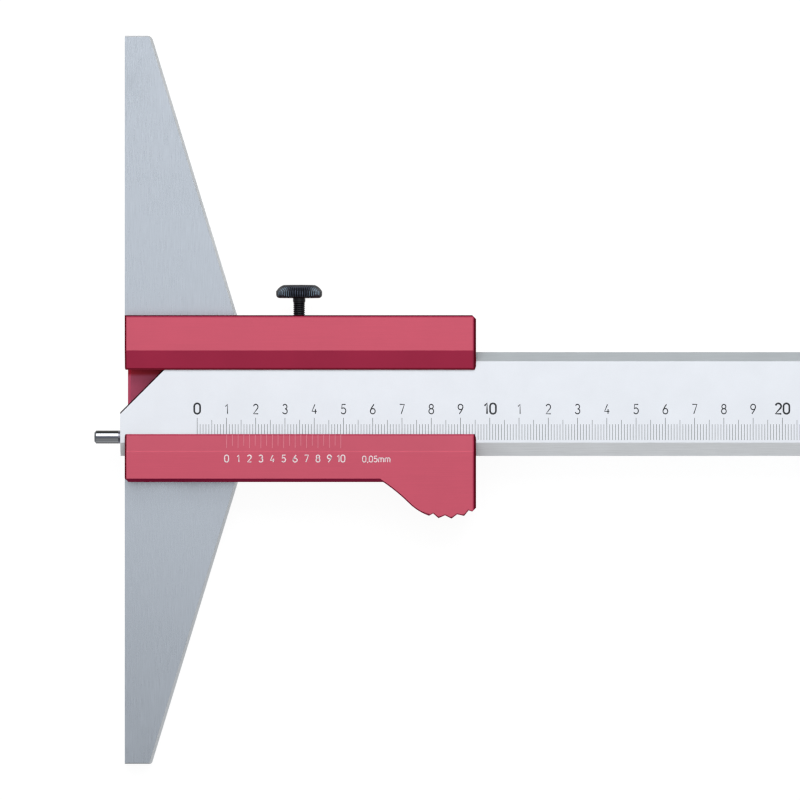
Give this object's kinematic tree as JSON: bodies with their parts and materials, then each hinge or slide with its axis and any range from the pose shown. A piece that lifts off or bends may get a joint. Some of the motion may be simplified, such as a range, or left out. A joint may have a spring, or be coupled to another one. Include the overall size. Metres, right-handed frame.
{
  "type": "vernier depth gauge",
  "caption": "Vernier depth gauge: graduated light-alloy beam with a measuring pin, sliding through an anodised slider on a long steel bridge, held by a knurled lock screw.",
  "frame": {"origin": "on the measuring pin's axis, in the beam's end face where the pin leaves it", "axes": "+X along the beam away from the pin, +Y across the beam towards the lock screw, +Z out of the graduated face"},
  "size_m": [0.4297, 0.25, 0.0227],
  "materials": {
    "satin_alloy": "matt satin chrome-like face, plain bevels",
    "chromed_pin": "polished",
    "black_steel": "black oxide",
    "bright_screw": "bright turned",
    "red_anodised": "red anodised, satin",
    "ground_steel": "ground along the measuring faces",
    "gib_brass": "milled",
    "black_knob": "black oxide, slightly oiled"
  },
  "bodies": {
    "beam": {"beam": "satin_alloy", "measuring_pin": "chromed_pin", "pin_grub_screw": "black_steel", "stop_screw": "bright_screw"},
    "slider": {"slider_body": "red_anodised", "bridge": "ground_steel", "gib_strip": "gib_brass", "gib_screw_near": "black_steel", "gib_screw_far": "black_steel", "bridge_screw_1": "bright_screw", "bridge_screw_2": "bright_screw", "bridge_screw_3": "bright_screw", "bridge_screw_4": "bright_screw", "bridge_dowel_upper": "bright_screw", "bridge_dowel_lower": "bright_screw"},
    "pad": {"pressure_pad": "gib_brass"},
    "lock": {"lock_screw": "black_knob"}
  },
  "joints": [
    {"name": "depth_slide", "type": "slide", "parent": "beam", "child": "slider", "axis": [1, 0, 0], "range_m": [-0.0101, 0.2899]},
    {"name": "pad_lift", "type": "slide", "parent": "slider", "child": "pad", "axis": [0, 1, 0], "range_m": [0, 0.00176]},
    {"name": "lock_turn", "type": "hinge", "parent": "pad", "child": "lock", "pos_m": [0.0611, 0.0498, 0], "axis": [0, 1, 0], "range_deg": [0, 900]}
  ],
  "couplings": [
    {"joint": "pad_lift", "follows": "lock_turn", "m_per_rad": 0.00011141}
  ]
}
